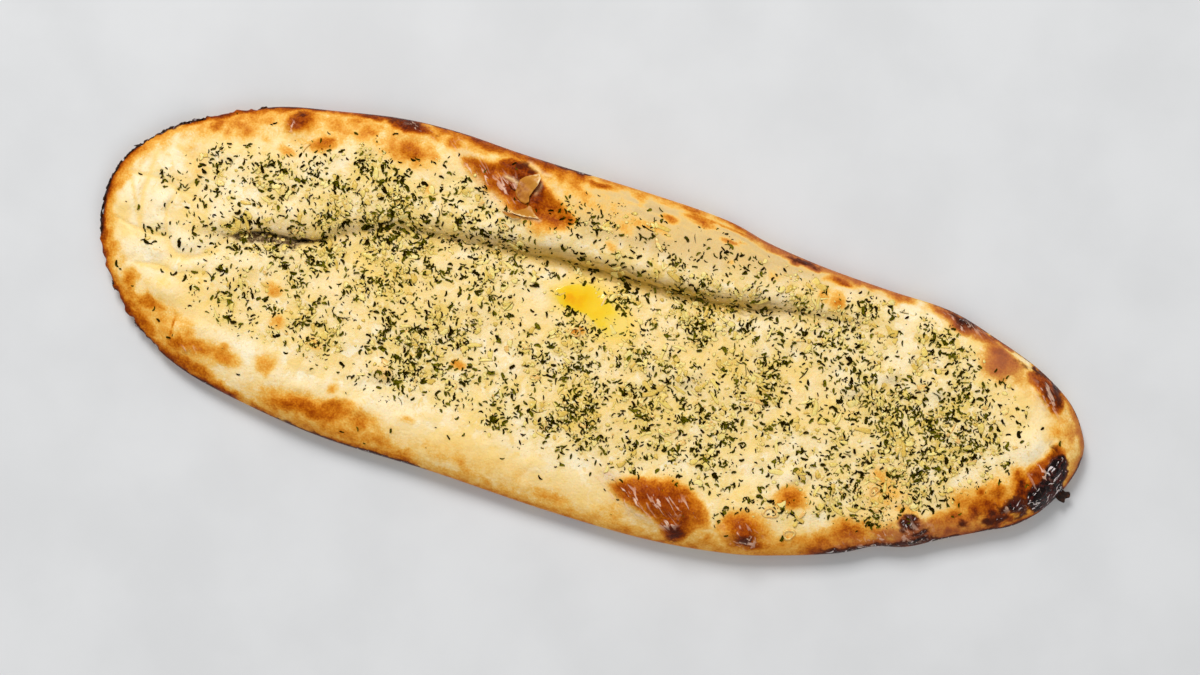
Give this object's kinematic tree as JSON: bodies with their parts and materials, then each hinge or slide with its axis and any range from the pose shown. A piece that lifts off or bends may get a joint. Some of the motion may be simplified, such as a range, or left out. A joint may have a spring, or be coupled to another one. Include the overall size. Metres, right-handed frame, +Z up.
{
  "type": "cheese garlic naan",
  "caption": "Long flat baked bread with a lengthwise fold, browned blistered edges and a herb and garlic topping, lying on its flat underside.",
  "frame": {"origin": "under the middle of the bread, at the centre of its bounding box in plan, on the plane of its flat underside", "axes": "+X along the bread from its rounder end to its narrower end, +Y across the bread towards the folded lip, +Z up out of the sprinkled face"},
  "size_m": [0.48, 0.1622, 0.0247],
  "materials": {
    "baked_dough": "cream baked dough with golden brown to charred blisters and a thin buttery sheen on top",
    "herb_leaf": "dried parsley flakes, dark green to olive",
    "garlic": "minced garlic cooked in butter, pale yellow and slightly translucent",
    "melted_butter": "a thin glossy pool of melted butter, deep yellow",
    "scorched_crust": "dry blackened crust, brown where it is thin"
  },
  "bodies": {
    "root": {"naan": "baked_dough"}
  },
  "joints": []
}
